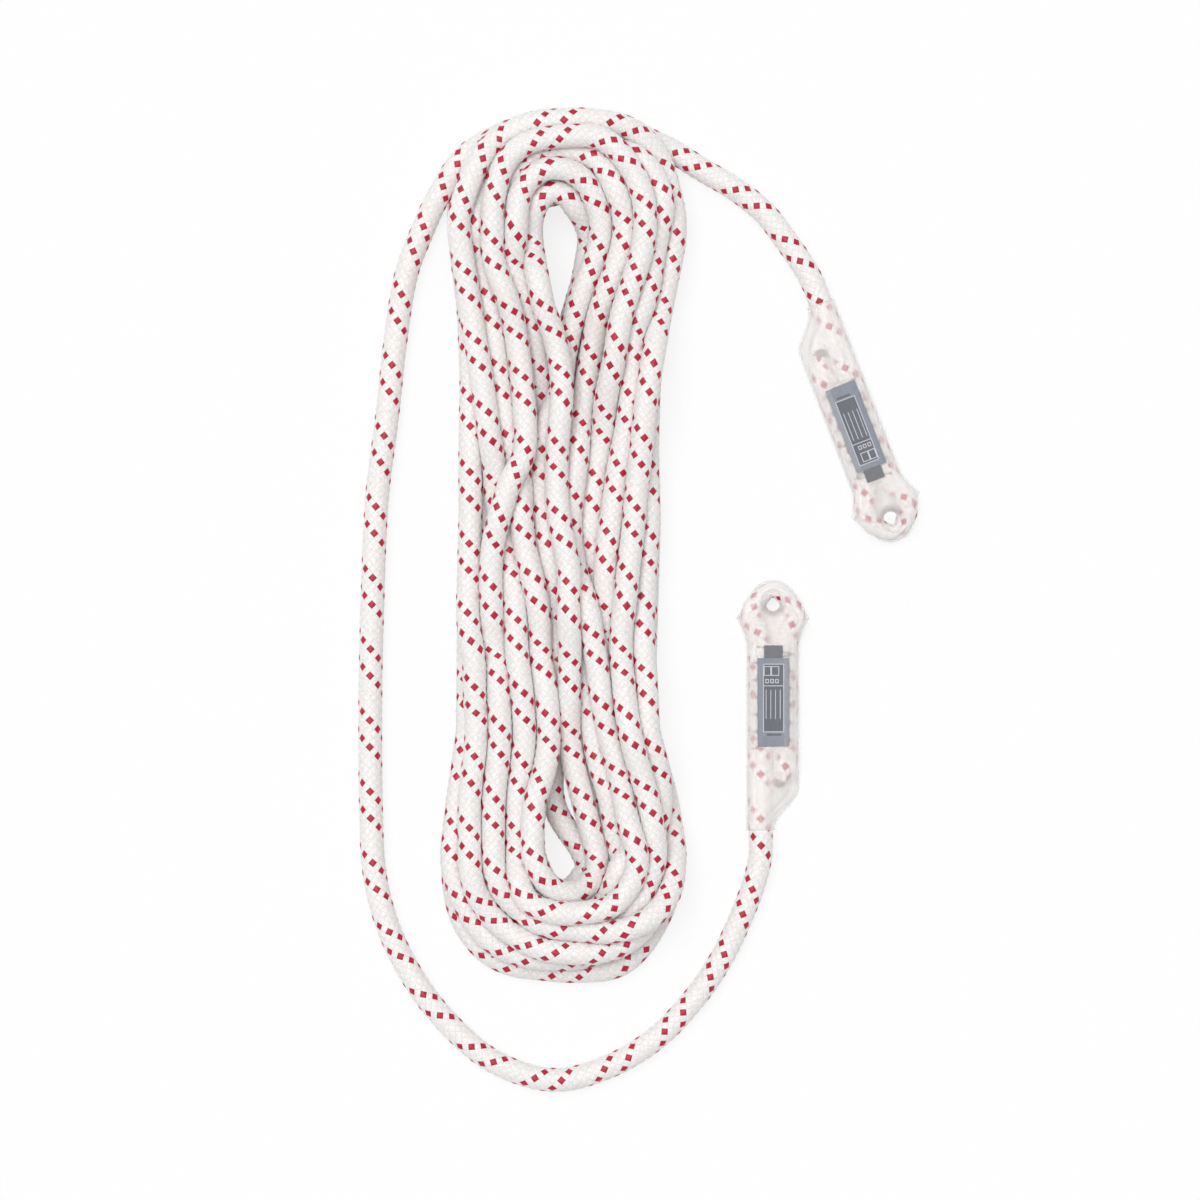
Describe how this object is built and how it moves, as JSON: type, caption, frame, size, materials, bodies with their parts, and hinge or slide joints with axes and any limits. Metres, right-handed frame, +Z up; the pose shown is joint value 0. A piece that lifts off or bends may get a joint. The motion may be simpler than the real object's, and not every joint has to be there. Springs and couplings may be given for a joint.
{
  "type": "static rope",
  "caption": "Kernmantle static rope wound into a long flat hank, with a sewn eye under a clear sleeve at each of its ends.",
  "frame": {"origin": "on the ground plane, under the middle of the object's bounding box", "axes": "+X across the hank towards the sewn eyes, +Y along the hank towards the end where the tails leave it, +Z up from the ground"},
  "size_m": [0.2536, 0.4408, 0.031],
  "materials": {
    "rope_sheath": "braided white yarn with red tracer yarns",
    "rope_core": "twisted white yarn",
    "fused_end": "melted and set yarn",
    "thread": "sewing thread",
    "label": "dark printed tape",
    "clear_sleeve": "milky clear soft plastic"
  },
  "bodies": {
    "root": {"hank": "rope_sheath", "long_tail_sheath": "rope_sheath", "long_tail_core": "rope_core", "short_tail_sheath": "rope_sheath", "short_tail_core": "rope_core", "lower_eye_sheath": "rope_sheath", "lower_eye_core": "rope_core", "lower_fused_end": "fused_end", "lower_stitching_top": "thread", "lower_stitching_bottom": "thread", "lower_label_tape": "label", "lower_label": "label", "lower_sleeve": "clear_sleeve", "upper_eye_sheath": "rope_sheath", "upper_eye_core": "rope_core", "upper_fused_end": "fused_end", "upper_stitching_top": "thread", "upper_stitching_bottom": "thread", "upper_label_tape": "label", "upper_label": "label", "upper_sleeve": "clear_sleeve"}
  },
  "joints": []
}
